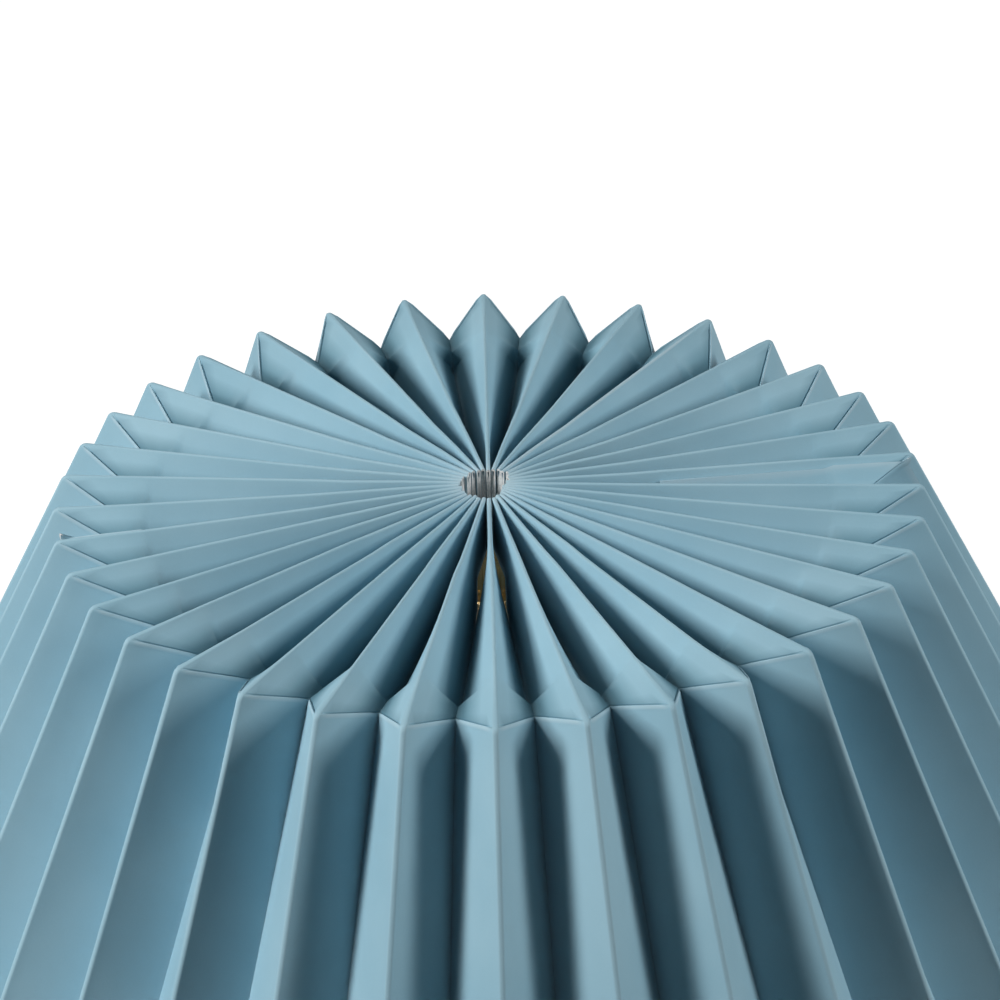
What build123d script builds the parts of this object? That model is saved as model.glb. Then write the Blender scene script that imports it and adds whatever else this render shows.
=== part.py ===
# Table lamp with a closed, pleated board shade on a harp, over a round weighted base.
# Millimetres, +Z up, origin on the resting plane under the middle of the base, front towards -Y.
from build123d import *
from math import cos, hypot, radians, sin, tan
import os

os.makedirs("parts", exist_ok=True)

# Clearances
slip = 0.05          # radial gap of a running or sliding fit
seat = 0.2           # gap between faces that turn on each other
nip = 0.05           # gap between pieces that are fixed against each other

# Shade
pleats = 36
shoulder_r = 100.0   # outer corner of a ridge
shade_h = 180.0
flare_deg = 27.9     # side ridges, from vertical
board_t = 0.5
hub_r = 6.6          # inner ends of the ridges
fin_depth = 9.7      # depth of a top pleat at the hub
notch_x = 86.8       # inner fold of the shoulder, along the pleat's own line
notch_drop = 6.4
fin_closed_r = 20.0  # up to here the two walls of a pleat lie against each other
slot_end_r = 58.0    # and from here outwards each pleat meets its neighbours
rim_depth = 9.0      # depth of a side pleat at the lower rim
ridge_w = 0.55       # half width of the folded ridge
ridge_drop = 0.25
side_crowd_deg = 4.0     # pleats crowd together towards the two glued seams
front_crowd_deg = 3.5    # and are looser at the back than at the front
lap_gap = 0.15           # glue line under the lapped end wall of each board
lap_bare = 0.10          # part of the pleat's wall that the lap leaves bare next to the ridge
lap_root = 0.06          # and next to the inner fold

# Heights
overall_h = 430.0
finial_below_top = 19.0
finial_h = 13.0
spider_hub_t = 4.0
harp_h = 149.8       # underside of the saddle to the top of the harp plate

# Shade carrier
spider_hub_r = 12.0
ring_r = 83.0
wire_d = 3.0
arms = 3
arm_turn_deg = 90.0

# Harp
stud_d = 4.0
harp_wire_d = 3.2
harp_foot_x = 25.0
harp_wide_x = 41.0
harp_plate_r = 8.0
harp_plate_t = 2.0
saddle_t = 1.6
saddle_w = 12.0
ear_d = 4.4
ear_h = 11.4
ear_socket_depth = 8.0
sleeve_d = 7.0
sleeve_h = 15.0
sleeve_neck_h = 3.0
sleeve_rim = 0.6
sleeve_lift = 0.3

# Finial
finial_d = 7.0
finial_foot_d = 11.0
finial_foot_h = 2.0
finial_flutes = 12
flute_d = 1.0
stud_reach = 8.5     # stud above the harp plate

# Lampholder
holder_r = 17.0
holder_wall = 0.8
holder_cap_h = 17.0
holder_h = 56.0      # saddle to mouth
liner_t = 0.5
core_h = 22.0
screw_shell_r = 13.3
screw_shell_t = 0.4
shaft_d = 3.2
shaft_up = 27.0      # switch axis above the saddle
shaft_in = 4.0       # inner end of the shaft from the lamp's axis
knob_d = 14.0
knob_h = 9.0
knob_gap = 1.2
knob_flutes = 12

# Bulb
bulb_cap_r = 13.0
bulb_cap_h = 20.0
bulb_r = 27.5
bulb_h = 83.0        # glass above the holder's mouth
glass_t = 0.9
contact_r = 4.5
led_sticks = 4
led_d = 1.6
led_h = 30.0
led_ring_r = 7.0

# Stem
pipe_d = 10.0
pipe_bore = 7.5
stem_d = 16.0
stem_wall = 1.0
foot_r = 17.0
foot_h = 9.0
crown_r = 12.0
crown_h = 10.0
tube_grip = 4.0      # depth of the tube's seats in the foot and the crown

# Base
base_r = 80.0
base_h = 26.0
base_wall = 1.5
base_edge_h = 14.0
base_lift = 1.0      # the pad stands this proud of the cover's edge
pad_t = 2.5
weight_gap = 0.8
weight_h = 11.0
weight_boss_r = 15.0
nut_flats = 14.0
nut_h = 4.0
washer_r = 11.0
washer_t = 1.5
recess_r = 15.0
recess_h = 8.0
inlet_z = 7.5
inlet_bore = 6.4
inlet_d = 9.0
inlet_flange_d = 12.0
inlet_flange_t = 1.5
inlet_in = 6.0       # length of the bushing inside the wall

# Heights that follow
hub_top = overall_h - finial_below_top - finial_h
hub_bottom = hub_top - spider_hub_t
plate_top = hub_bottom - seat
saddle_z = plate_top - harp_h
mouth_z = saddle_z + holder_h
rim_ridge_r = shoulder_r + shade_h * tan(radians(flare_deg))

# Ridge and inner fold of a pleat at the shoulder and at the lower rim, as radius and height from the top
shoulder_fold = ((shoulder_r, 0.0), (notch_x, -notch_drop))
rim_fold = ((rim_ridge_r, -shade_h), (rim_ridge_r - rim_depth, -shade_h))
slant_cut = 1.2 * board_t    # the board's thickness as those slanting planes cut it


def bar(radius, height, z=0.0):
    return Pos(0, 0, z) * Cylinder(radius, height, align=(Align.CENTER, Align.CENTER, Align.MIN))


def turned(points):
    return revolve(Plane.XZ * make_face(Polyline(*points, close=True)), Axis.Z)


def save(shape, node):
    export_step(shape, f"parts/{node}.step")


# Pleated shade
def ridge_deg(step):
    even = 360.0 / pleats * step
    crowd = side_crowd_deg * sin(2 * radians(even)) - front_crowd_deg * sin(radians(even))
    return even + crowd


def half_pitch(step):
    left = (ridge_deg(step) - ridge_deg(step - 1)) / 2
    right = (ridge_deg(step + 1) - ridge_deg(step)) / 2
    return radians(left), radians(right)


def section_plane(ridge, valley, shift=0.0):
    # The plane through a ridge point and the valley line, with x across the pleat and y down to the valley.
    drop = Vector(valley[0] - ridge[0], 0, valley[1] - ridge[1])
    plane = Plane(origin=(ridge[0], shift, ridge[1]), x_dir=(0, 1, 0), z_dir=Vector(0, 1, 0).cross(drop))
    return plane, drop, drop.length


def fold_section(ridge, valley, left, right, cut, under, shift=0.0):
    # One folded board in that plane. Its thickness lies under the valley's end,
    # or beside it where the pleat stands free.
    plane, drop, deep = section_plane(ridge, valley, shift)

    def under_end(half):
        # The end face stays in the plane through the lamp's axis where neighbouring pleats meet.
        thick = cut * hypot(half, deep) / half
        return half * (1 + thick * drop.X / deep / valley[0]), deep + thick

    if under:
        left_half, left_deep = under_end(left)
        inner_left = (-left_half, left_deep)
        inner_right = under_end(right)
        narrow = min(left, right)
        inner_ridge = ridge_drop + cut * hypot(narrow, deep) / narrow
    else:
        inner_left = (-left + cut, deep)
        inner_right = (right - cut, deep)
        inner_ridge = ridge_drop + 2 * cut
    outline = Polyline(
        (-left, deep), (-ridge_w, ridge_drop), (0, 0), (ridge_w, ridge_drop), (right, deep),
        inner_right, (0, inner_ridge), inner_left, close=True,
    )
    return plane * make_face(outline)


def lap_section(ridge, valley, half, cut):
    # The neighbouring board's end wall, lying on the left wall of a pleat.
    plane, drop, deep = section_plane(ridge, valley)
    start = Vector(-ridge_w, ridge_drop)
    run = Vector(-half, deep) - start
    out = Vector(-run.Y, run.X).normalized()
    high = start + run * lap_bare + out * lap_gap
    low = start + run * (1 - lap_root) + out * lap_gap
    return plane * make_face(Polyline(high, low, low + out * cut, high + out * cut, close=True))


def top_valley_z(x):
    return -fin_depth + (fin_depth - notch_drop) * (x - hub_r) / (notch_x - hub_r)


def pleat_sections(step):
    left, right = half_pitch(step)
    even = radians(360.0 / pleats * step)
    offset = hub_r * sin(even - radians(ridge_deg(step)))
    closed = board_t + slip / 2
    top = []
    for x, half_left, half_right, under in (
        (hub_r, closed, closed, False),
        (fin_closed_r, closed + ridge_w - board_t + slip, closed + ridge_w - board_t + slip, False),
        (slot_end_r, slot_end_r * tan(left), slot_end_r * tan(right), True),
    ):
        shift = offset * (shoulder_r - x) / (shoulder_r - hub_r) if x < slot_end_r else 0.0
        top.append(fold_section((x, 0), (x, top_valley_z(x)), half_left, half_right, board_t, under, shift))
    mitre = fold_section(*shoulder_fold, notch_x * tan(left), notch_x * tan(right), slant_cut, True)
    rim = fold_section(*rim_fold, rim_fold[1][0] * tan(left), rim_fold[1][0] * tan(right), slant_cut, True)
    return top + [mitre], [mitre, rim]


def place_pleat(solid, step):
    return Pos(0, 0, overall_h) * Rot(0, 0, ridge_deg(step) - 90) * solid


def pleat(step):
    top, side = pleat_sections(step)
    return [place_pleat(loft(part, ruled=True), step) for part in (top, side)]


def lap(step):
    # Top and side of the glued wall that covers the left wall of this pleat.
    left = half_pitch(step)[0]
    inner_fold = ((slot_end_r, 0), (slot_end_r, top_valley_z(slot_end_r)))
    start, mitre, rim = (
        lap_section(ridge, valley, valley[0] * tan(left), cut)
        for (ridge, valley), cut in ((inner_fold, board_t), (shoulder_fold, slant_cut), (rim_fold, slant_cut))
    )
    return [place_pleat(loft(pair, ruled=True), step) for pair in ([start, mitre], [mitre, rim])]


def shade_half(first_step):
    # 18 pleats, and the end wall that laps over the first pleat of the other half.
    next_step = first_step + pleats // 2
    solids = lap(next_step)
    for step in range(first_step, next_step):
        solids += pleat(step)
    return Compound(children=solids)


# Shade carrier
def spider_ring():
    ring_z = overall_h + top_valley_z(ring_r) - board_t * 1.6 - wire_d / 2 - nip
    return Pos(0, 0, ring_z) * Torus(ring_r, wire_d / 2), ring_z


def spider_arms(ring_z):
    start = Vector(0, 0, hub_bottom + spider_hub_t / 2)
    end = Vector(ring_r, 0, ring_z)
    arm = Solid.make_cylinder(wire_d / 2, (end - start).length, Plane(origin=start, z_dir=end - start))
    arm -= bar(spider_hub_r + nip, spider_hub_t * 6, hub_bottom - spider_hub_t)
    arm -= Pos(0, 0, ring_z) * Torus(ring_r, wire_d / 2 + nip)
    arm = max(arm.solids(), key=lambda piece: piece.volume)
    return Compound(children=[Rot(0, 0, arm_turn_deg + 360 / arms * i) * arm for i in range(arms)])


def spider_hub():
    hub = chamfer(bar(spider_hub_r, spider_hub_t, hub_bottom).edges(), 0.5)
    return hub - bar(stud_d / 2 + slip, spider_hub_t * 2, hub_bottom - 1)


def finial():
    z = hub_top + seat
    top = z + finial_h - seat
    foot = chamfer(bar(finial_foot_d / 2, finial_foot_h, z).edges().group_by(Axis.Z)[-1], 0.4)
    knob = bar(finial_d / 2, top - z - finial_foot_h, z + finial_foot_h)
    knob = fillet(knob.edges().group_by(Axis.Z)[-1], 1.2)
    for i in range(finial_flutes):
        flute = bar(flute_d / 2, finial_h * 0.55, z + finial_foot_h + 1.2)
        knob -= Rot(0, 0, 360 / finial_flutes * i) * Pos(finial_d / 2 + flute_d * 0.15, 0, 0) * flute
    bore = bar(stud_d / 2 + slip, plate_top + stud_reach + 0.6 - z + 1, z - 1)
    return foot + knob - bore


# Harp
def harp_wire():
    top_z = plate_top - harp_plate_t - nip - harp_wire_d / 2
    foot_z = saddle_z + saddle_t + ear_h - ear_socket_depth + nip
    right = [
        (harp_foot_x, foot_z), (harp_foot_x, saddle_z + 44), (harp_wide_x, saddle_z + 84),
        (harp_wide_x, top_z - 22), (harp_wide_x - 20, top_z),
    ]
    points = right + [(-x, z) for x, z in reversed(right)]
    radii = [26.0, 30.0, 16.0, 12.0]
    path = Plane.XZ * FilletPolyline(*points, radius=radii + radii[::-1])
    start = Plane(origin=(harp_foot_x, 0, foot_z), z_dir=(0, 0, 1))
    return sweep(start * Circle(harp_wire_d / 2), path=path)


def harp_plate():
    plate_z = plate_top - harp_plate_t
    plate = chamfer(bar(harp_plate_r, harp_plate_t, plate_z).edges().group_by(Axis.Z)[-1], 0.3)
    stud = chamfer(bar(stud_d / 2, stud_reach + 1, plate_top - 1).edges().group_by(Axis.Z)[-1], 0.5)
    return plate + stud


def harp_saddle():
    strap = Box(2 * harp_foot_x + saddle_w, saddle_w, saddle_t, align=(Align.CENTER, Align.CENTER, Align.MIN))
    strap = Pos(0, 0, saddle_z) * fillet(strap.edges().filter_by(Axis.Z), saddle_w / 2 - 0.1)
    for side in (-1, 1):
        ear = bar(ear_d / 2, ear_h + 0.5, saddle_z + saddle_t - 0.5)
        ear -= bar(harp_wire_d / 2 + nip, ear_socket_depth + 1, saddle_z + saddle_t + ear_h - ear_socket_depth)
        strap += Pos(side * harp_foot_x, 0, 0) * ear
    return strap - bar(pipe_d / 2 + nip, saddle_t * 4, saddle_z - saddle_t)


def harp_sleeve(side):
    z = saddle_z + saddle_t + sleeve_lift
    sleeve = bar(sleeve_d / 2, sleeve_h, z)
    sleeve = chamfer(sleeve.edges(), 0.4)
    grip = bar(sleeve_d / 2 + sleeve_rim, 2.0, z + sleeve_h - 4.0)
    sleeve += chamfer(grip.edges(), 0.4)
    sleeve -= bar(ear_d / 2 + slip, sleeve_h - sleeve_neck_h, z - 0.001)
    sleeve -= bar(harp_wire_d / 2 + slip, sleeve_h * 2, z - 1)
    return Pos(side * harp_foot_x, 0, 0) * sleeve


# Lampholder
def holder_cap():
    z = saddle_z + saddle_t + nip
    top = saddle_z + saddle_t + holder_cap_h
    inner = holder_r - holder_wall
    cap = turned([
        (pipe_d / 2 + nip, z), (9, z), (11, z + 2.5), (holder_r - 2.5, z + 5), (holder_r, z + 8.5),
        (holder_r, top), (inner, top), (inner, z + 9), (holder_r - 3.2, z + 6.2), (10, z + 4),
        (8, z + 6), (pipe_d / 2 + nip, z + 6),
    ])
    return cap


def shaft_hole(extra, length):
    start = (0, 0, saddle_z + shaft_up)
    return Solid.make_cylinder(shaft_d / 2 + extra, length, Plane(origin=start, z_dir=(0, -1, 0)))


def holder_shell():
    z = saddle_z + saddle_t + holder_cap_h + nip
    inner = holder_r - holder_wall
    shell = turned([
        (inner, z), (holder_r + 0.6, z), (holder_r + 0.9, z + 1.2), (holder_r + 0.6, z + 2.4),
        (holder_r, z + 3.0), (holder_r, mouth_z - 3), (holder_r + 0.7, mouth_z - 1.8), (holder_r + 0.7, mouth_z),
        (inner, mouth_z),
    ])
    return shell - shaft_hole(slip, holder_r * 2)


def holder_liner():
    z = saddle_z + saddle_t + holder_cap_h + 1
    outer = holder_r - holder_wall - nip
    liner = bar(outer, mouth_z - 1.5 - z, z) - bar(outer - liner_t, mouth_z, z - 1)
    return liner - shaft_hole(slip, holder_r * 2)


def holder_core():
    z = saddle_z + saddle_t + 9.5
    radius = holder_r - holder_wall - liner_t - 3 * nip
    core = bar(radius - 2.2, 4, z) + bar(radius, core_h - 4, z + 4)
    core -= shaft_hole(slip, holder_r * 2) & bar(holder_r, core_h, z)
    core += Solid.make_cylinder(
        shaft_d, shaft_in - nip, Plane(origin=(0, 0, saddle_z + shaft_up), z_dir=(0, -1, 0)))
    for side in (-1, 1):
        core -= Pos(side * (radius - 3), 0, 0) * bar(2.4, 3, z + core_h - 3)
    return core


def terminal_screws():
    z = saddle_z + saddle_t + 9.5 + core_h - 3
    radius = holder_r - holder_wall - liner_t - 3 * nip
    screw = bar(2.2, 1.6, z) - Pos(0, 0, z + 1.6) * Box(6, 0.7, 1.2)
    return Compound(children=[Pos(side * (radius - 3), 0, 0) * screw for side in (-1, 1)])


def screw_shell():
    z = saddle_z + saddle_t + 9.5 + core_h
    outer = screw_shell_r + screw_shell_t
    shell = bar(outer, mouth_z - 2.5 - z, z) - bar(screw_shell_r, mouth_z, z + screw_shell_t)
    return shell - bar(contact_r + 1.6, 2, z - 1)


def centre_contact():
    z = saddle_z + saddle_t + 9.5 + core_h
    tongue = Pos(0, 0, z) * Box(5, 8, 0.5, align=(Align.CENTER, Align.CENTER, Align.MIN))
    return tongue + Pos(0, 0, z) * Box(5, 1.2, 1.4, align=(Align.CENTER, Align.CENTER, Align.MIN))


def switch_shaft():
    start = (0, -shaft_in, saddle_z + shaft_up)
    length = holder_r + knob_gap + knob_h - 2 - shaft_in
    return Solid.make_cylinder(shaft_d / 2, length, Plane(origin=start, z_dir=(0, -1, 0)))


def switch_knob():
    knob = fillet(bar(knob_d / 2, knob_h).edges().group_by(Axis.Z)[-1], 1.5)
    for i in range(knob_flutes):
        knob -= Rot(0, 0, 360 / knob_flutes * i) * Pos(knob_d / 2 + 0.5, 0, 0) * bar(1.3, knob_h * 3, -knob_h)
    knob -= bar(shaft_d / 2 + nip, knob_h - 2 + nip, 0)
    start = (0, -holder_r - knob_gap, saddle_z + shaft_up)
    return Plane(origin=start, x_dir=(1, 0, 0), z_dir=(0, -1, 0)) * knob


# Bulb
def bulb_cap():
    top = mouth_z + 1.0
    z = top - bulb_cap_h
    wall = 0.5
    return turned([
        (contact_r + 3, z), (bulb_cap_r - 1.2, z + 2.5), (bulb_cap_r, z + 3.5), (bulb_cap_r, top),
        (bulb_cap_r - wall, top), (bulb_cap_r - wall, z + 3.8), (bulb_cap_r - 1.6, z + 3), (contact_r + 3, z + 0.6),
    ])


def bulb_insulator():
    z = mouth_z + 1.0 - bulb_cap_h
    return turned([
        (contact_r - 1, z - 1.6), (contact_r + 0.6, z - 1.6), (contact_r + 3 - nip, z - 0.1),
        (contact_r + 3 - nip, z + 1.2), (contact_r - 1, z + 1.2),
    ])


def bulb_contact():
    z = mouth_z + 1.0 - bulb_cap_h
    return turned([(0, z - 2.2), (contact_r - 1.6, z - 2.2), (contact_r - 1 - nip, z - 1.6),
                   (contact_r - 1 - nip, z + 0.6), (0, z + 0.6)])


def globe_face(inset, low):
    # Half of the glass outline: neck, shoulder and a round top.
    neck = bulb_cap_r - 1.0 - inset
    centre_z = mouth_z + bulb_h - bulb_r
    wide = bulb_r - inset
    start = radians(-35)
    arc_start = (wide * cos(start), centre_z + wide * sin(start))
    outline = Polyline((0, low), (neck, low), (neck, mouth_z + 4))
    shoulder = Line((neck, mouth_z + 4), arc_start)
    crown = ThreePointArc(arc_start, (wide, centre_z), (0, centre_z + wide))
    axis_line = Line((0, centre_z + wide), (0, low))
    return Plane.XZ * make_face(outline + shoulder + crown + axis_line)


def bulb_glass():
    low = mouth_z + 1.0 - bulb_cap_h + 5
    outside = revolve(globe_face(0, low), Axis.Z)
    inside = revolve(globe_face(glass_t, low - 1), Axis.Z)
    return outside - inside


def filament_post():
    low = mouth_z + 1.0 - bulb_cap_h + 5
    post = bar(bulb_cap_r - 1.0 - glass_t - nip, 2, low)
    post += bar(3.0, mouth_z + 16 - low, low)
    return post + bar(led_ring_r + led_d, 0.8, mouth_z + 16)


def led_sticks_group():
    z = mouth_z + 16.8 + nip
    stick = bar(led_d / 2, led_h, z)
    spots = [Rot(0, 0, 45 + 360 / led_sticks * i) * Pos(led_ring_r, 0, 0) for i in range(led_sticks)]
    return Compound(children=[spot * stick for spot in spots])


# Stem
def stem_foot():
    z = base_h + nip
    bore = pipe_d / 2 + nip
    cup = stem_d / 2 + nip
    return turned([
        (bore, z), (foot_r, z), (foot_r, z + 1.8), (foot_r - 1.5, z + 2.6), (stem_d / 2 + 3, z + 5),
        (stem_d / 2 + 1.6, z + foot_h - 0.6), (stem_d / 2 + 1.0, z + foot_h), (cup, z + foot_h),
        (cup, z + foot_h - tube_grip), (bore, z + foot_h - tube_grip),
    ])


def stem_tube():
    z = base_h + foot_h - tube_grip + 2 * nip
    top = saddle_z - crown_h + tube_grip - 2 * nip
    return bar(stem_d / 2, top - z, z) - bar(stem_d / 2 - stem_wall, top, z - 1)


def stem_crown():
    top = saddle_z - nip
    z = top - crown_h
    bore = pipe_d / 2 + nip
    cup = stem_d / 2 + nip
    return turned([
        (cup, z), (stem_d / 2 + 1.0, z), (stem_d / 2 + 1.6, z + 0.6), (stem_d / 2 + 1.8, z + 4.5),
        (crown_r, z + crown_h - 2), (crown_r, top), (bore, top), (bore, z + tube_grip), (cup, z + tube_grip),
    ])


def threaded_pipe():
    z = pad_t + 1.5
    top = saddle_z + saddle_t + 8
    return bar(pipe_d / 2, top - z, z) - bar(pipe_bore / 2, top, z - 1)


# Base
def base_face(inset):
    top = base_h - inset
    edge = base_r - inset
    rise = Polyline((0, base_lift), (edge, base_lift), (edge, base_edge_h - inset))
    shoulder = TangentArc((edge, base_edge_h - inset), (edge - 7, base_edge_h + 5.5 - inset), tangent=(0, 1))
    crown = Line((edge - 7, base_edge_h + 5.5 - inset), (foot_r + 6 - inset, top))
    close_line = Polyline((foot_r + 6 - inset, top), (0, top), (0, base_lift))
    return Plane.XZ * make_face(rise + shoulder + crown + close_line)


def inlet_hole(radius, start_y, length):
    return Solid.make_cylinder(radius, length, Plane(origin=(0, start_y, inlet_z), z_dir=(0, 1, 0)))


def base_cover():
    cover = revolve(base_face(0), Axis.Z) - revolve(base_face(base_wall), Axis.Z)
    cover -= bar(base_r - base_wall, 2, base_lift - 1)
    cover -= bar(pipe_d / 2 + nip, base_h * 2, 0)
    return cover - inlet_hole(inlet_d / 2 + nip, base_r - 10, 20)


def base_weight():
    radius = base_r - base_wall - weight_gap
    weight = chamfer(bar(radius, weight_h, pad_t).edges().group_by(Axis.Z)[-1], 1.5)
    weight += bar(weight_boss_r, base_h - base_wall - nip - pad_t, pad_t)
    weight -= bar(recess_r, recess_h, pad_t)
    weight -= bar(pipe_d / 2 + nip, base_h, pad_t)
    channel = Box(inlet_flange_d, radius, recess_h + 2.5, align=(Align.CENTER, Align.MIN, Align.MIN))
    weight -= Pos(0, recess_r - 4, pad_t) * channel
    return weight


def base_washer():
    z = pad_t + recess_h - nip - washer_t
    return bar(washer_r, washer_t, z) - bar(pipe_d / 2 + nip, washer_t * 3, z - washer_t)


def base_nut():
    z = pad_t + recess_h - 2 * nip - washer_t - nut_h
    nut = extrude(Pos(0, 0, z) * RegularPolygon(nut_flats / 2, 6, major_radius=False), nut_h)
    nut = nut & chamfer(bar(nut_flats / 2 * 1.14, nut_h, z).edges(), 0.6)
    return nut - bar(pipe_d / 2 + nip, nut_h * 3, z - nut_h)


def base_pad():
    return chamfer(bar(base_r - base_wall - weight_gap - 0.5, pad_t - nip).edges().group_by(Axis.Z)[0], 0.3)


def cord_bushing():
    wall_y = base_r - base_wall
    body = inlet_hole(inlet_d / 2, wall_y - inlet_in, inlet_in + base_wall + 0.3)
    flange_y = base_r + nip
    flange = chamfer(inlet_hole(inlet_flange_d / 2, flange_y, inlet_flange_t).edges().group_by(Axis.Y)[-1], 0.5)
    return body + flange - inlet_hole(inlet_bore / 2, wall_y - inlet_in - 1, 30)


first_half = 10 - pleats // 2
ring, ring_height = spider_ring()
save(shade_half(first_half), "shade_front")
save(shade_half(first_half + pleats // 2), "shade_back")
save(ring, "spider_ring")
save(spider_arms(ring_height), "spider_arms")
save(spider_hub(), "spider_hub")
save(finial(), "finial")
save(harp_wire(), "harp_wire")
save(harp_plate(), "harp_plate")
save(harp_saddle(), "harp_saddle")
save(harp_sleeve(-1), "harp_sleeve_left")
save(harp_sleeve(1), "harp_sleeve_right")
save(holder_cap(), "holder_cap")
save(holder_shell(), "holder_shell")
save(holder_liner(), "holder_liner")
save(holder_core(), "holder_core")
save(terminal_screws(), "terminal_screws")
save(screw_shell(), "screw_shell")
save(centre_contact(), "centre_contact")
save(switch_shaft(), "switch_shaft")
save(switch_knob(), "switch_knob")
save(bulb_cap(), "bulb_cap")
save(bulb_insulator(), "bulb_insulator")
save(bulb_contact(), "bulb_contact")
save(bulb_glass(), "bulb_glass")
save(filament_post(), "filament_post")
save(led_sticks_group(), "led_sticks")
save(stem_foot(), "stem_foot")
save(stem_tube(), "stem_tube")
save(stem_crown(), "stem_crown")
save(threaded_pipe(), "threaded_pipe")
save(base_cover(), "base_cover")
save(base_weight(), "base_weight")
save(base_washer(), "base_washer")
save(base_nut(), "base_nut")
save(base_pad(), "base_pad")
save(cord_bushing(), "cord_bushing")
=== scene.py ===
import math

import bmesh
import bpy
from mathutils import Matrix, Vector


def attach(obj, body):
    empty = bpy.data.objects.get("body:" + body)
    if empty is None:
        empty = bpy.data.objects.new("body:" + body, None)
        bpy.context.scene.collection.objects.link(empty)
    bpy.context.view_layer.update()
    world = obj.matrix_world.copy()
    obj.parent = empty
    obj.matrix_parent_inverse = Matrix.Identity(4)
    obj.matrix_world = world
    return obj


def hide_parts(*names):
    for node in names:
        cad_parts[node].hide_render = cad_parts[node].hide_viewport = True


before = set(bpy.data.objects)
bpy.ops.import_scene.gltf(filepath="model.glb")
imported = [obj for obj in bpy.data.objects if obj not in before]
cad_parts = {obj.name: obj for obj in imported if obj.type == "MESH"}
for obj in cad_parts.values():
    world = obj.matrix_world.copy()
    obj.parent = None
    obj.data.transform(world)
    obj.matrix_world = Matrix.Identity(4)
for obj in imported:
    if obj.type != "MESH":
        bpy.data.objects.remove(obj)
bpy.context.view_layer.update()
print("frame loaded")

mm = 0.001

camera = {
    "distance": 673.5 * mm,
    "elevation": math.radians(29.82),
    "yaw": math.radians(0.25),
    "pitch": math.radians(30.16),
    "roll": math.radians(-1.44),
    "lens": 104.7,
    "sensor": 36.0,
    "near": 0.01,
    "far": 60,
}


def addCamera():
    look = camera
    backward = Vector((0, -math.cos(look["elevation"]), math.sin(look["elevation"])))
    place = Vector((0, 0, shade["topZ"])) + look["distance"] * backward
    forward = Vector((
        math.sin(look["yaw"]) * math.cos(look["pitch"]),
        math.cos(look["yaw"]) * math.cos(look["pitch"]),
        -math.sin(look["pitch"]),
    ))
    right = Vector((math.cos(look["yaw"]), -math.sin(look["yaw"]), 0))
    up = right.cross(forward)
    rolledRight = right * math.cos(look["roll"]) + up * math.sin(look["roll"])
    rolledUp = up * math.cos(look["roll"]) - right * math.sin(look["roll"])
    data = bpy.data.cameras.new("photoCamera")
    data.lens = look["lens"]
    data.sensor_width = look["sensor"]
    data.clip_start = look["near"]
    data.clip_end = look["far"]
    cam = bpy.data.objects.new("photoCamera", data)
    turn = Matrix((rolledRight, rolledUp, -forward)).transposed().to_4x4()
    cam.matrix_world = Matrix.Translation(place) @ turn
    bpy.context.scene.collection.objects.link(cam)
    bpy.context.scene.camera = cam


# Lights: a key from the left, a weaker one from the right and a faint one from behind.
# Azimuth 0 is straight in front, and positive is to the right; angles are in degrees.
lights = {
    "key": {"azimuth": -68, "elevation": 33, "distance": 0.95, "size": (0.15, 0.34), "power": 7.7},
    "fill": {"azimuth": 79, "elevation": 30, "distance": 0.95, "size": (0.16, 0.34), "power": 4.9},
    "back": {"azimuth": -150, "elevation": 42, "distance": 1.3, "size": (0.5, 0.4), "power": 2.2},
}
lightColor = (1.0, 0.99, 0.98)
lightAim = Vector((0, 0, 0.38))


def addLight(name, values):
    azimuth, elevation = math.radians(values["azimuth"]), math.radians(values["elevation"])
    flat = math.cos(elevation)
    data = bpy.data.lights.new(name, "AREA")
    data.shape = "RECTANGLE"
    data.size, data.size_y = values["size"]
    data.energy = values["power"]
    data.color = lightColor
    lamp = bpy.data.objects.new(name, data)
    towards = Vector((flat * math.sin(azimuth), -flat * math.cos(azimuth), math.sin(elevation)))
    place = lightAim + values["distance"] * towards
    aim = lightAim - place
    lamp.rotation_euler = aim.to_track_quat("-Z", "Y").to_euler()
    lamp.location = place
    bpy.context.scene.collection.objects.link(lamp)


# Shared effects
def addNode(tree, kind, **settings):
    node = tree.nodes.new(kind)
    for name, value in settings.items():
        if hasattr(node, name):
            setattr(node, name, value)
        else:
            node.inputs[name.replace("_", " ")].default_value = value
    return node


def newGroup(name, inputs, outputs):
    group = bpy.data.node_groups.new(name, "ShaderNodeTree")
    for label, kind, value in inputs:
        socket = group.interface.new_socket(label, in_out="INPUT", socket_type=kind)
        socket.default_value = value
    for label, kind in outputs:
        group.interface.new_socket(label, in_out="OUTPUT", socket_type=kind)
    start = group.nodes.new("NodeGroupInput")
    end = group.nodes.new("NodeGroupOutput")
    return group, start, end


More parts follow.
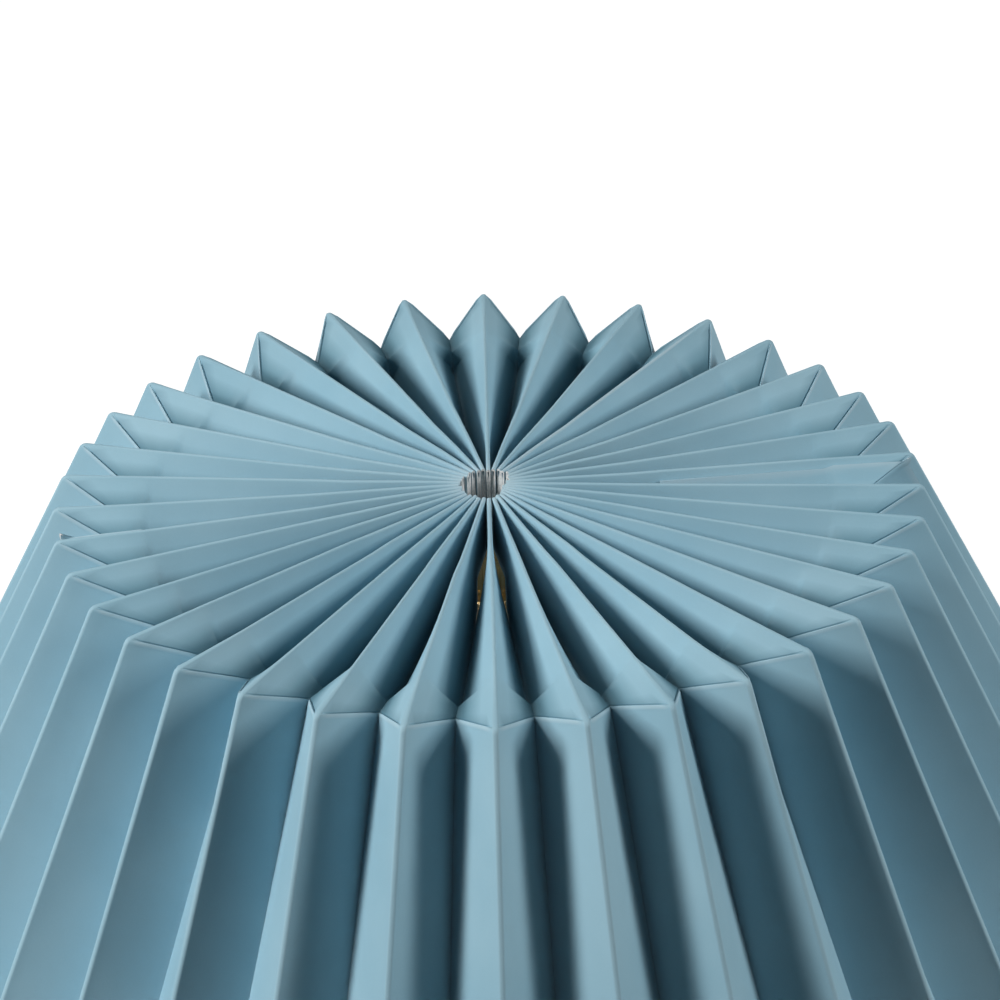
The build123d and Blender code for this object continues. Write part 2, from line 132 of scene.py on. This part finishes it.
def makePaperGrain():
    # Fine laid grain of the board: a height, and a mask for the faint mottle of its colour.
    group, start, end = newGroup(
        "paperGrain",
        [("Scale", "NodeSocketFloat", 1.0), ("Mottle", "NodeSocketFloat", 1.0)],
        [("Height", "NodeSocketFloat"), ("Mask", "NodeSocketFloat")],
    )
    links = group.links
    coord = addNode(group, "ShaderNodeTexCoord")
    scaled = addNode(group, "ShaderNodeVectorMath", operation="SCALE")
    links.new(coord.outputs["Object"], scaled.inputs[0])
    links.new(start.outputs["Scale"], scaled.inputs["Scale"])
    fine = addNode(group, "ShaderNodeTexNoise", Scale=2600.0, Detail=3.0, Roughness=0.6)
    fibre = addNode(group, "ShaderNodeTexNoise", Scale=700.0, Detail=4.0, Roughness=0.65, Distortion=0.8)
    cloud = addNode(group, "ShaderNodeTexNoise", Scale=34.0, Detail=3.0, Roughness=0.5)
    for node in (fine, fibre, cloud):
        links.new(scaled.outputs[0], node.inputs["Vector"])
    height = addNode(group, "ShaderNodeMath", operation="MULTIPLY_ADD")
    height.inputs[1].default_value = 0.6
    links.new(fibre.outputs["Fac"], height.inputs[0])
    links.new(fine.outputs["Fac"], height.inputs[2])
    mask = addNode(group, "ShaderNodeMath", operation="MULTIPLY_ADD")
    mask.inputs[1].default_value = 0.25
    links.new(fine.outputs["Fac"], mask.inputs[0])
    links.new(cloud.outputs["Fac"], mask.inputs[2])
    level = addNode(group, "ShaderNodeMath", operation="MULTIPLY")
    links.new(mask.outputs[0], level.inputs[0])
    links.new(start.outputs["Mottle"], level.inputs[1])
    links.new(height.outputs[0], end.inputs["Height"])
    links.new(level.outputs[0], end.inputs["Mask"])
    return group


def makeEdgeMask():
    # White where the surface bends outwards sharply, for pale folds and for worn or polished edges.
    group, start, end = newGroup(
        "edgeMask",
        [("Low", "NodeSocketFloat", 0.51), ("High", "NodeSocketFloat", 0.58)],
        [("Mask", "NodeSocketFloat")],
    )
    links = group.links
    shape = addNode(group, "ShaderNodeNewGeometry")
    span = addNode(group, "ShaderNodeMapRange")
    links.new(shape.outputs["Pointiness"], span.inputs["Value"])
    links.new(start.outputs["Low"], span.inputs["From Min"])
    links.new(start.outputs["High"], span.inputs["From Max"])
    links.new(span.outputs["Result"], end.inputs["Mask"])
    return group


def makeBrushed():
    # Fine turning marks: stretched noise along the height, with slow stains.
    group, start, end = newGroup(
        "brushedMarks",
        [("Along", "NodeSocketFloat", 60.0), ("Across", "NodeSocketFloat", 3000.0)],
        [("Marks", "NodeSocketFloat"), ("Stain", "NodeSocketFloat")],
    )
    links = group.links
    coord = addNode(group, "ShaderNodeTexCoord")
    sizes = addNode(group, "ShaderNodeCombineXYZ")
    links.new(start.outputs["Along"], sizes.inputs["X"])
    links.new(start.outputs["Along"], sizes.inputs["Y"])
    links.new(start.outputs["Across"], sizes.inputs["Z"])
    product = addNode(group, "ShaderNodeVectorMath", operation="MULTIPLY")
    links.new(coord.outputs["Object"], product.inputs[0])
    links.new(sizes.outputs[0], product.inputs[1])
    marks = addNode(group, "ShaderNodeTexNoise", Scale=1.0, Detail=4.0, Roughness=0.7)
    links.new(product.outputs[0], marks.inputs["Vector"])
    stain = addNode(group, "ShaderNodeTexNoise", Scale=60.0, Detail=5.0, Roughness=0.6)
    links.new(coord.outputs["Object"], stain.inputs["Vector"])
    links.new(marks.outputs["Fac"], end.inputs["Marks"])
    links.new(stain.outputs["Fac"], end.inputs["Stain"])
    return group


def makeGrit():
    # Even fine texture of powder coat, moulded plastic, felt and casting, set by its size.
    group, start, end = newGroup(
        "grit",
        [("Size", "NodeSocketFloat", 900.0), ("Rough", "NodeSocketFloat", 0.6)],
        [("Height", "NodeSocketFloat"), ("Cloud", "NodeSocketFloat")],
    )
    links = group.links
    coord = addNode(group, "ShaderNodeTexCoord")
    fine = addNode(group, "ShaderNodeTexNoise", Detail=4.0)
    links.new(coord.outputs["Object"], fine.inputs["Vector"])
    links.new(start.outputs["Size"], fine.inputs["Scale"])
    links.new(start.outputs["Rough"], fine.inputs["Roughness"])
    cloud = addNode(group, "ShaderNodeTexNoise", Scale=28.0, Detail=4.0, Roughness=0.6)
    links.new(coord.outputs["Object"], cloud.inputs["Vector"])
    links.new(fine.outputs["Fac"], end.inputs["Height"])
    links.new(cloud.outputs["Fac"], end.inputs["Cloud"])
    return group


paperGrain = makePaperGrain()
edgeMask = makeEdgeMask()
brushedMarks = makeBrushed()
grit = makeGrit()
print("shared effects made")


def startMaterial(name, **plain):
    mat = bpy.data.materials.new(name)
    mat.use_nodes = True
    tree = mat.node_tree
    shader = tree.nodes["Principled BSDF"]
    for label, value in plain.items():
        shader.inputs[label.replace("_", " ")].default_value = value
    return mat, tree, shader


def placeGroup(tree, group, **values):
    return addNode(tree, "ShaderNodeGroup", node_tree=group, **values)


def mixColors(tree, factor, first, second):
    mix = addNode(tree, "ShaderNodeMix", data_type="RGBA")
    tree.links.new(factor, mix.inputs["Factor"])
    for index, color in ((6, first), (7, second)):
        if hasattr(color, "is_linked"):
            tree.links.new(color, mix.inputs[index])
        else:
            mix.inputs[index].default_value = (*color, 1)
    return mix.outputs[2]


def spread(tree, value, low, high, fromLow=0.3, fromHigh=0.7):
    # Without a range of its own, the value is taken for noise, which lies mostly from 0.3 to 0.7.
    span = addNode(
        tree, "ShaderNodeMapRange", From_Min=fromLow, From_Max=fromHigh, To_Min=low, To_Max=high)
    tree.links.new(value, span.inputs["Value"])
    return span.outputs["Result"]


def addBump(tree, shader, height, distance, strength=1.0):
    bump = addNode(tree, "ShaderNodeBump", Distance=distance, Strength=strength)
    tree.links.new(height, bump.inputs["Height"])
    tree.links.new(bump.outputs["Normal"], shader.inputs["Normal"])


board = {
    "deep": (0.290, 0.495, 0.600),
    "pale": (0.335, 0.540, 0.640),
    "ridge": (0.450, 0.615, 0.695),
    "fold": (0.085, 0.205, 0.265),      # painted shade deep in the folds of the top
    "groove": (0.100, 0.220, 0.290),    # painted shade in the groove above the pressed crease
    "edge": (0.860, 0.870, 0.860),
    "edgeDark": (0.520, 0.560, 0.575),
}


def makeBoard():
    mat, tree, shader = startMaterial("blueBoard", Specular_IOR_Level=0.18)
    grain = placeGroup(tree, paperGrain, Scale=1.0, Mottle=1.0)
    edges = placeGroup(tree, edgeMask, Low=0.515, High=0.60)
    fold = addNode(tree, "ShaderNodeAttribute", attribute_name="foldDepth").outputs["Fac"]
    creaseShading = addNode(tree, "ShaderNodeAttribute", attribute_name="creaseLightAndShade").outputs["Fac"]
    mottle = spread(tree, grain.outputs["Mask"], 0, 1, 0.45, 0.8)
    color = mixColors(tree, mottle, board["deep"], board["pale"])
    # Painted shade: the board darkens towards the bottom of each fold of the top.
    color = mixColors(tree, spread(tree, fold, 0, 0.85, 0.30, 0.80), color, board["fold"])
    color = mixColors(tree, spread(tree, edges.outputs["Mask"], 0, 0.8, 0, 1), color, board["ridge"])
    # Painted highlight along the crease's lip in the ridge colour, and painted shade in the groove above
    # it.
    color = mixColors(tree, spread(tree, creaseShading, 0, 0.75, 0.1, 1), color, board["ridge"])
    color = mixColors(tree, spread(tree, creaseShading, 0, 0.85, -0.1, -1), color, board["groove"])
    tree.links.new(color, shader.inputs["Base Color"])
    rough = spread(tree, grain.outputs["Height"], 0.50, 0.64, 0.6, 1.0)
    tree.links.new(rough, shader.inputs["Roughness"])
    addBump(tree, shader, grain.outputs["Height"], 0.03 * mm, 0.6)
    return mat


def makeBoardEdge():
    mat, tree, shader = startMaterial("cutBoard", Roughness=0.85, Specular_IOR_Level=0.2)
    dust = placeGroup(tree, grit, Size=1500.0, Rough=0.7)
    color = mixColors(tree, spread(tree, dust.outputs["Height"], 0, 1), board["edge"], board["edgeDark"])
    tree.links.new(color, shader.inputs["Base Color"])
    addBump(tree, shader, dust.outputs["Height"], 0.06 * mm)
    return mat


def makeTurned(name, tone, dark, roughness):
    mat, tree, shader = startMaterial(name, Metallic=1.0)
    marks = placeGroup(tree, brushedMarks, Along=90.0, Across=2600.0)
    edges = placeGroup(tree, edgeMask, Low=0.52, High=0.62)
    body = mixColors(tree, spread(tree, marks.outputs["Stain"], 0, 1), dark, tone)
    bright = tuple(min(1.0, part * 1.18) for part in tone)
    tree.links.new(mixColors(tree, edges.outputs["Mask"], body, bright), shader.inputs["Base Color"])
    rough = spread(tree, marks.outputs["Marks"], roughness - 0.07, roughness + 0.09)
    tree.links.new(rough, shader.inputs["Roughness"])
    addBump(tree, shader, marks.outputs["Marks"], 0.02 * mm, 0.5)
    return mat


def makeGritty(name, tone, dark, roughness, size, depth, **plain):
    mat, tree, shader = startMaterial(name, **plain)
    texture = placeGroup(tree, grit, Size=size, Rough=0.65)
    edges = placeGroup(tree, edgeMask, Low=0.52, High=0.62)
    body = mixColors(tree, spread(tree, texture.outputs["Cloud"], 0, 1), dark, tone)
    worn = tuple(min(1.0, part * 1.15 + 0.01) for part in tone)
    tree.links.new(mixColors(tree, edges.outputs["Mask"], body, worn), shader.inputs["Base Color"])
    rough = spread(tree, texture.outputs["Height"], roughness - 0.06, roughness + 0.06)
    tree.links.new(rough, shader.inputs["Roughness"])
    addBump(tree, shader, texture.outputs["Height"], depth)
    return mat


def makeGlass():
    mat, tree, shader = startMaterial(
        "clearGlass", Roughness=0.02, IOR=1.45, Transmission_Weight=1.0, Base_Color=(0.97, 0.98, 0.97, 1))
    ripple = placeGroup(tree, grit, Size=45.0, Rough=0.3)
    addBump(tree, shader, ripple.outputs["Height"], 0.02 * mm, 0.3)
    return mat


def makeLed():
    mat, tree, shader = startMaterial("ledPhosphor", Roughness=0.5)
    texture = placeGroup(tree, grit, Size=1200.0, Rough=0.5)
    yellow, pale = (0.86, 0.62, 0.13), (0.93, 0.74, 0.24)
    color = mixColors(tree, spread(tree, texture.outputs["Height"], 0, 1), yellow, pale)
    tree.links.new(color, shader.inputs["Base Color"])
    return mat


turnedFinishes = {
    "satinBrass": {"tone": (0.70, 0.53, 0.27), "dark": (0.50, 0.36, 0.17), "roughness": 0.33},
    "zincSteel": {"tone": (0.62, 0.62, 0.60), "dark": (0.42, 0.42, 0.42), "roughness": 0.38},
    "platedCap": {"tone": (0.80, 0.80, 0.81), "dark": (0.62, 0.62, 0.63), "roughness": 0.24},
}
grittyFinishes = {
    "powderWhite": {
        "tone": (0.80, 0.80, 0.77), "dark": (0.76, 0.76, 0.73),
        "roughness": 0.48, "size": 1400.0, "depth": 0.04 * mm},
    "blackPhenolic": {
        "tone": (0.030, 0.026, 0.024), "dark": (0.020, 0.018, 0.017),
        "roughness": 0.34, "size": 1600.0, "depth": 0.02 * mm},
    "castIron": {
        "tone": (0.10, 0.10, 0.10), "dark": (0.05, 0.05, 0.05),
        "roughness": 0.72, "size": 420.0, "depth": 0.3 * mm},
    "darkFelt": {
        "tone": (0.075, 0.082, 0.090), "dark": (0.045, 0.050, 0.055),
        "roughness": 0.95, "size": 1900.0, "depth": 0.3 * mm, "Sheen_Weight": 0.4},
    "fibreSleeve": {
        "tone": (0.50, 0.40, 0.27), "dark": (0.40, 0.31, 0.20),
        "roughness": 0.80, "size": 1100.0, "depth": 0.08 * mm},
    "blackRubber": {
        "tone": (0.032, 0.032, 0.033), "dark": (0.022, 0.022, 0.023),
        "roughness": 0.62, "size": 1300.0, "depth": 0.03 * mm},
}

blueBoard = makeBoard()
cutBoard = makeBoardEdge()
materials = {"clearGlass": makeGlass(), "ledPhosphor": makeLed()}
for name, values in turnedFinishes.items():
    materials[name] = makeTurned(name, **values)
for name, values in grittyFinishes.items():
    materials[name] = makeGritty(name, **values)
print("materials made")

nodeFinish = {
    "satinBrass": (
        "finial", "harp_wire", "harp_plate", "harp_saddle", "harp_sleeve_left", "harp_sleeve_right",
        "holder_cap", "holder_shell", "centre_contact", "stem_foot", "stem_tube", "stem_crown",
    ),
    "zincSteel": (
        "spider_ring", "spider_arms", "spider_hub", "terminal_screws", "switch_shaft", "threaded_pipe",
        "base_washer", "base_nut",
    ),
    "platedCap": ("screw_shell", "bulb_cap", "bulb_contact"),
    "powderWhite": ("base_cover",),
    "blackPhenolic": ("holder_core", "switch_knob", "bulb_insulator"),
    "castIron": ("base_weight",),
    "darkFelt": ("base_pad",),
    "fibreSleeve": ("holder_liner",),
    "blackRubber": ("cord_bushing",),
    "clearGlass": ("bulb_glass", "filament_post"),
    "ledPhosphor": ("led_sticks",),
}
sharpAngle = math.radians(32)       # edges sharper than this stay sharp on the plain pieces
creaseAngle = math.radians(30)      # and this on the shade


def finishNodes():
    for finish, names in nodeFinish.items():
        for name in names:
            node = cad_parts[name]
            node.data.materials.clear()
            node.data.materials.append(materials[finish])
            node.data.set_sharp_from_angle(angle=sharpAngle)


studio = {
    "sky": (0.93, 0.97, 1.0),
    "skyLevel": 0.012,
    "mirrorLevel": 0.45,            # how white the studio is to glossy rays
    "floorSize": 24,
    "floorPlain": (0.40, 0.41, 0.42),   # the floor as it lights the lamp
    "floorShade": (0.32, 0.32, 0.32),   # and as the camera sees it, over a glow that fades up to white
    "glowNear": 0.70,
    "fadeFrom": 0.25,
    "fadeTo": 0.85,
}


def seenRays(tree):
    # The camera and clear glass see the white studio, mirror rays a dimmer one,
    # and the object is lit by the lights alone.
    path = addNode(tree, "ShaderNodeLightPath")
    dim = addNode(tree, "ShaderNodeMath", operation="MULTIPLY")
    dim.inputs[1].default_value = studio["mirrorLevel"]
    tree.links.new(path.outputs["Is Glossy Ray"], dim.inputs[0])
    total = dim.outputs[0]
    for kind in ("Is Camera Ray", "Is Transmission Ray"):
        most = addNode(tree, "ShaderNodeMath", operation="MAXIMUM")
        tree.links.new(total, most.inputs[0])
        tree.links.new(path.outputs[kind], most.inputs[1])
        total = most.outputs[0]
    return total


def mixSeen(tree, out, lit, seen):
    mix = addNode(tree, "ShaderNodeMixShader")
    tree.links.new(seenRays(tree), mix.inputs[0])
    tree.links.new(lit.outputs[0], mix.inputs[1])
    tree.links.new(seen.outputs[0], mix.inputs[2])
    tree.links.new(mix.outputs[0], out.inputs[0])


def addWorld():
    world = bpy.data.worlds.new("studio")
    bpy.context.scene.world = world
    world.use_nodes = True
    tree = world.node_tree
    tree.nodes.clear()
    out = addNode(tree, "ShaderNodeOutputWorld")
    sky = addNode(tree, "ShaderNodeBackground", Color=(*studio["sky"], 1), Strength=studio["skyLevel"])
    white = addNode(tree, "ShaderNodeBackground", Color=(1, 1, 1, 1), Strength=1.0)
    mixSeen(tree, out, sky, white)


def addFloor():
    bpy.ops.mesh.primitive_plane_add(size=studio["floorSize"], location=(0, 0, 0))
    floor = bpy.context.active_object
    floor.name = "floor"
    mat = bpy.data.materials.new("paleFloor")
    mat.use_nodes = True
    tree = mat.node_tree
    tree.nodes.clear()
    out = addNode(tree, "ShaderNodeOutputMaterial")
    plain = addNode(tree, "ShaderNodeBsdfDiffuse", Color=(*studio["floorPlain"], 1))
    shadow = addNode(tree, "ShaderNodeBsdfDiffuse", Color=(*studio["floorShade"], 1))
    glow = addNode(tree, "ShaderNodeEmission", Color=(1, 1, 1, 1))
    both = addNode(tree, "ShaderNodeAddShader")
    # Far from the lamp the floor fades up to white, as a lit sweep does.
    spot = addNode(tree, "ShaderNodeTexCoord")
    reach = addNode(tree, "ShaderNodeVectorMath", operation="LENGTH")
    tree.links.new(spot.outputs["Object"], reach.inputs[0])
    level = spread(
        tree, reach.outputs["Value"], studio["glowNear"], 1.0, studio["fadeFrom"], studio["fadeTo"])
    tree.links.new(level, glow.inputs["Strength"])
    tree.links.new(shadow.outputs[0], both.inputs[0])
    tree.links.new(glow.outputs[0], both.inputs[1])
    mixSeen(tree, out, plain, both)
    floor.data.materials.append(mat)


# Pleated shade, as it stands in the frame
shade = {
    "pleats": 36,
    "topZ": 430.0 * mm,
    "height": 180.0 * mm,
    "shoulderRadius": 100.0 * mm,
    "flare": math.radians(27.9),
    "boardThick": 0.5 * mm,
    "hubRadius": 6.6 * mm,          # hole in the top, where the ends of the pleats are jammed together
    "closedHalf": 0.525 * mm,       # half width of a pleat whose two walls lie against each other
    # Top pleats by radius: depth of the inner fold, and part of the pitch that a pleat fills.
    # Just inside the shoulder the fold rises over the wire ring of the carrier.
    "topFolds": {
        20.0 * mm: (13.6 * mm, 0.0), 33.0 * mm: (13.4 * mm, 0.96), 40.0 * mm: (13.1 * mm, 1.0),
        78.5 * mm: (11.4 * mm, 1.0), 80.8 * mm: (7.3 * mm, 1.0),
    },
    "notchX": 86.8 * mm,            # inner fold at the shoulder, along the pleat's own line
    "notchDrop": 6.4 * mm,
    "rimDepth": 9.0 * mm,
    "sideCrowd": math.radians(4.0),     # pleats crowd together towards the two glued seams
    "frontCrowd": math.radians(3.5),    # and are looser at the back than at the front
    "sideRows": 14,
    "wallPoints": 7,
    "foldRows": 3,                  # rows of the corner that the painted shade deep in the top folds reaches
}

# Unevenness of the hand-folded pleats. Waves are size, rate per pleat and start.
unevenness = {
    "hubWaves": ((0.30 * mm, 2.4, 0.0), (0.21 * mm, 5.1, 1.0)),     # of the ends at the hole
    "bowWaves": ((0.30 * mm, 3.1, 0.6), (0.15 * mm, 7.7, 0.0)),     # of the ridges on the top
    "push": 2.7 * mm,               # the ends on the right are pushed further in
    "pushMiddle": 7.5,              # steps from the foremost pleat
    "pushSpan": 4.6,
}

# Rounded fold along a ridge
ridge = {
    "halfTop": 0.50 * mm,
    "halfSide": 0.72 * mm,
    "drop": 0.42 * mm,
    "sweep": math.radians(78),      # turns this far each way
    "points": 7,
    "splay": 0.75,                  # how far the inner skin spreads under the fold
    "pinch": 0.1,                   # and how near its points come to the middle where they would cross
    "leastHalf": 0.02 * mm,
}

# Corner between the top and the side, and the crease pressed there between the ridges
shoulder = {
    "cornerRound": 1.3 * mm,
    "creaseRound": 1.2 * mm,
    "easing": 0.35,                 # next to the ridge the crease's rounding goes over to the corner's
    "lip": 0.50 * mm,
    "groove": 0.70 * mm,            # along the upper side of the lip
    "grooveAt": 0.18,               # share of the corner
    "grooveSpan": 0.12,
    "rows": 9,
    "paintedCreaseShading": {0: -0.5, 1: -1.0, 2: -0.6, 4: 0.8, 5: 1.0, 6: 0.6},   # painted highlight and shade across the crease by row, shade below 0, highlight above
}
topRows = (4, 4, 4, 8, 2, 3)        # rows from each top station to the next, the last up to the corner

# End wall of one board, glued on the other
lap = {
    "gap": 0.15 * mm,               # glue line
    "freeSpans": 3,                 # spans of the top, from the hole outwards, without a lap
    "peel": 1.3 * mm,               # the edge stands off at the shoulder
    "peelRows": 3.2,
    "flatColumns": 3,               # columns that stay down, counted from the inner fold
    "bareRows": 5,                  # the white cut edge begins this far above the shoulder's middle
}


# Step 0 is the foremost pleat, and each pleat is made pointing along +X.
def mixed(first, second, share):
    return first + (second - first) * share


def waves(parts, step):
    return sum(size * math.sin(rate * step + start) for size, rate, start in parts)


def ridgeAngle(step):
    even = math.tau / shade["pleats"] * step
    return even + shade["sideCrowd"] * math.sin(2 * even) - shade["frontCrowd"] * math.sin(even)


def pleatTurn(step):
    lift = Matrix.Translation((0, 0, shade["topZ"]))
    return lift @ Matrix.Rotation(ridgeAngle(step) - math.pi / 2, 4, "Z")


def hubEnd(step):
    # The ends of the pleats are jammed together, and those on the right are pushed further in.
    pushed = math.exp(-((step - unevenness["pushMiddle"]) / unevenness["pushSpan"]) ** 4)
    return shade["hubRadius"] - unevenness["push"] * pushed + waves(unevenness["hubWaves"], step)


def skinLine(deep, left, right, ridgeHalf):
    # Outline of one station from the left valley over the rounded ridge to the right valley:
    # place across the pleat, depth below the ridge, and the side, which is 0 on the fold itself.
    count = shade["wallPoints"]
    walls = []
    for half, side in ((left, -1), (right, 1)):
        walls.append([
            (side * mixed(ridgeHalf, half, k / count), mixed(ridge["drop"], deep, k / count), side)
            for k in range(count, 0, -1)
        ])
    cap = []
    for k in range(ridge["points"]):
        turn = mixed(-1.0, 1.0, k / (ridge["points"] - 1)) * ridge["sweep"]
        cap.append((
            ridgeHalf * math.sin(turn) / math.sin(ridge["sweep"]),
            ridge["drop"] * (1 - math.cos(turn)) / (1 - math.cos(ridge["sweep"])),
            0,
        ))
    return walls[0] + cap + walls[1][::-1]


def innerPoint(y, d, side, half, deep, ridgeHalf):
    # One board's thickness behind the outer skin. The two inner walls never cross.
    if side:
        run = Vector((half - ridgeHalf, deep - ridge["drop"])).normalized()
        normal = Vector((-side * run[1], run[0]))
    else:
        normal = Vector((-ridge["splay"] * y / ridgeHalf, 1)).normalized()
    inY, inD = y + normal[0] * shade["boardThick"], d + normal[1] * shade["boardThick"]
    if side and side * inY < ridge["leastHalf"]:
        inY = side * ridge["leastHalf"]
    if not side and abs(inY) > abs(y):
        inY = y * ridge["pinch"]
    return inY, inD


def stationPoints(top, valley, left, right, ridgeHalf, shift=0.0, bow=0.0):
    # Outer and inner skin of one station. Top and valley are (x, z).
    down = Vector((valley[0] - top[0], 0, valley[1] - top[1]))
    deep = down.length
    down.normalize()
    across = Vector((0, 1, 0))
    start = Vector((top[0], shift, top[1]))
    outer, inner = [], []
    for y, d, side in skinLine(deep, left, right, ridgeHalf):
        aside = bow * (1 - max(0.0, d - ridge["drop"]) / (deep - ridge["drop"]))
        inY, inD = innerPoint(y, d, side, left if side < 0 else right, deep, ridgeHalf)
        outer.append(start + across * (y + aside) + down * d)
        inner.append(start + across * (inY + aside) + down * inD)
    return outer, inner


def pleatStations(step):
    left = (ridgeAngle(step) - ridgeAngle(step - 1)) / 2
    right = (ridgeAngle(step + 1) - ridgeAngle(step)) / 2
    cornerR, hubR = shade["shoulderRadius"], shade["hubRadius"]
    offset = hubR * math.sin(math.tau / shade["pleats"] * step - ridgeAngle(step))
    bow = waves(unevenness["bowWaves"], step)
    stations = []
    folds = list(shade["topFolds"].items())
    for x, (depth, share) in [(hubEnd(step), folds[0][1])] + folds:
        halfLeft = max(shade["closedHalf"], share * x * math.tan(left))
        halfRight = max(shade["closedHalf"], share * x * math.tan(right))
        shift = offset * (1 - share) * (cornerR - x) / (cornerR - hubR)
        aside = bow if share == 1 else 0.0
        stations.append(stationPoints(
            (x, 0), (x, -depth), halfLeft, halfRight, ridge["halfTop"], shift, aside))
    rimR = cornerR + shade["height"] * math.tan(shade["flare"])
    lower = (
        ((cornerR, 0), (shade["notchX"], -shade["notchDrop"])),
        ((rimR, -shade["height"]), (rimR - shade["rimDepth"], -shade["height"])),
    )
    for top, valley in lower:
        stations.append(stationPoints(
            top, valley, valley[0] * math.tan(left), valley[0] * math.tan(right), ridge["halfSide"]))
    return stations


def columnPath(keys, cornerRadius, lip, groove):
    # Rows along one column: the top's straight spans, a rounded corner at the shoulder, and the side.
    path = []
    *tops, corner, rim = keys
    towardsTop = (tops[-1] - corner).normalized()
    towardsRim = (rim - corner).normalized()
    beforeCorner = corner + towardsTop * cornerRadius
    afterCorner = corner + towardsRim * cornerRadius
    spans = list(zip(tops, tops[1:] + [beforeCorner]))
    for (first, second), count in zip(spans, topRows):
        path += [first.lerp(second, k / count) for k in range(count)]
    outward = -(towardsTop + towardsRim).normalized()
    rows = shoulder["rows"]
    for k in range(rows):
        t = k / (rows - 1)
        point = beforeCorner * (1 - t) ** 2 + corner * 2 * t * (1 - t) + afterCorner * t ** 2
        dip = math.exp(-((t - shoulder["grooveAt"]) / shoulder["grooveSpan"]) ** 2)
        path.append(point + outward * (lip * math.sin(math.pi * t) ** 2 - groove * dip))
    for k in range(1, shade["sideRows"] + 1):
        path.append(afterCorner.lerp(rim, k / shade["sideRows"]))
    return path


def pleatGrid(step):
    # Columns of the outer and of the inner skin. The crease is pressed into the outer one, between the
    # inner fold and the ridge.
    stations = pleatStations(step)
    columns = len(stations[0][0])
    wall = shade["wallPoints"]
    eased = mixed(shoulder["creaseRound"], shoulder["cornerRound"], shoulder["easing"])
    skins = []
    for skin in (0, 1):
        grid = []
        for column in range(columns):
            keys = [station[skin][column] for station in stations]
            fromFold = min(column, columns - 1 - column)
            if fromFold >= wall:
                radius = shoulder["cornerRound"]
            else:
                radius = eased if fromFold == wall - 1 else shoulder["creaseRound"]
            creased = 1 if skin == 0 and 0 < fromFold < wall else 0
            grid.append(columnPath(keys, radius, creased * shoulder["lip"], creased * shoulder["groove"]))
        skins.append(grid)
    return skins


def joinSkins(mesh, out, back, edgeFinish, firstFinish):
    # Faces of a folded wall. Finish 0 is the blue face of the board and 1 its white cut edge.
    columns, rows = len(out), len(out[0])
    for c in range(columns - 1):
        for r in range(rows - 1):
            mesh.faces.new((out[c][r], out[c][r + 1], out[c + 1][r + 1], out[c + 1][r]))
            mesh.faces.new((back[c][r], back[c + 1][r], back[c + 1][r + 1], back[c][r + 1]))
    for r in range(rows - 1):
        start = mesh.faces.new((out[0][r], back[0][r], back[0][r + 1], out[0][r + 1]))
        end = mesh.faces.new((out[-1][r], out[-1][r + 1], back[-1][r + 1], back[-1][r]))
        start.material_index = end.material_index = edgeFinish[r]
    for c in range(columns - 1):
        first = mesh.faces.new((out[c][0], out[c + 1][0], back[c + 1][0], back[c][0]))
        last = mesh.faces.new((back[c][-1], back[c + 1][-1], out[c + 1][-1], out[c][-1]))
        first.material_index, last.material_index = firstFinish, 1


def addPleat(mesh, step):
    turn = pleatTurn(step)
    outer, inner = pleatGrid(step)
    out, back = (
        [[mesh.verts.new(turn @ point) for point in path] for path in grid] for grid in (outer, inner)
    )
    # Painted shade towards the bottom of the folds of the top, strongest at the inner fold.
    fold = mesh.verts.layers.float["foldDepth"]
    # Painted highlight and painted shade across the crease, row by row.
    creaseShading = mesh.verts.layers.float["creaseLightAndShade"]
    columns, topEnd = len(out), sum(topRows)
    for c in range(columns):
        down = max(0.0, 1 - min(c, columns - 1 - c) / shade["wallPoints"])
        for r in range(topEnd + shade["foldRows"]):
            out[c][r][fold] = down
        for k, tone in shoulder["paintedCreaseShading"].items():
            out[c][topEnd + k][creaseShading] = tone if 0 < down < 1 else 0.0
    joinSkins(mesh, out, back, [0] * (len(out[0]) - 1), 1)


def addLap(mesh, step):
    # The end wall of one board, glued on the left wall of the other board's first pleat.
    turn = pleatTurn(step)
    outer, inner = pleatGrid(step)
    startRow = sum(topRows[:lap["freeSpans"]])
    corner = sum(topRows) + shoulder["rows"] // 2
    columns = range(1, shade["wallPoints"])
    near, far = [], []
    for c in columns:
        edge = max(0.0, (c - lap["flatColumns"]) / (len(columns) - lap["flatColumns"]))
        low, high = [], []
        for r in range(startRow, len(outer[c])):
            out = (outer[c][r] - inner[c][r]).normalized()
            peel = lap["peel"] * edge ** 2 * math.exp(-((r - corner) / lap["peelRows"]) ** 2)
            base = outer[c][r] + out * (lap["gap"] + peel)
            low.append(mesh.verts.new(turn @ base))
            high.append(mesh.verts.new(turn @ (base + out * shade["boardThick"])))
        near.append(low)
        far.append(high)
    # The white edge shows from the shoulder down, and on the top it has the board's own colour.
    bare = [1 if startRow + r > corner - lap["bareRows"] else 0 for r in range(len(near[0]) - 1)]
    joinSkins(mesh, far, near, bare, 0)


def makeShadeHalf(name, node, firstStep):
    mesh = bmesh.new()
    for layer in ("foldDepth", "creaseLightAndShade"):
        mesh.verts.layers.float.new(layer)
    addLap(mesh, firstStep + shade["pleats"] // 2)
    for step in range(firstStep, firstStep + shade["pleats"] // 2):
        addPleat(mesh, step)
    for face in mesh.faces:
        face.smooth = True
    data = bpy.data.meshes.new(name)
    mesh.to_mesh(data)
    mesh.free()
    data.set_sharp_from_angle(angle=creaseAngle)
    data.materials.append(blueBoard)
    data.materials.append(cutBoard)
    piece = bpy.data.objects.new(name, data)
    bpy.context.scene.collection.objects.link(piece)
    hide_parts(node)
    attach(piece, "shade")


bpy.context.scene.view_settings.view_transform = "Standard"
addCamera()
for name, values in lights.items():
    addLight(name, values)
addWorld()
addFloor()
finishNodes()
print("studio and finishes ready")

makeShadeHalf("shadeFront", "shade_front", -8)
makeShadeHalf("shadeBack", "shade_back", 10)
print("shade made")
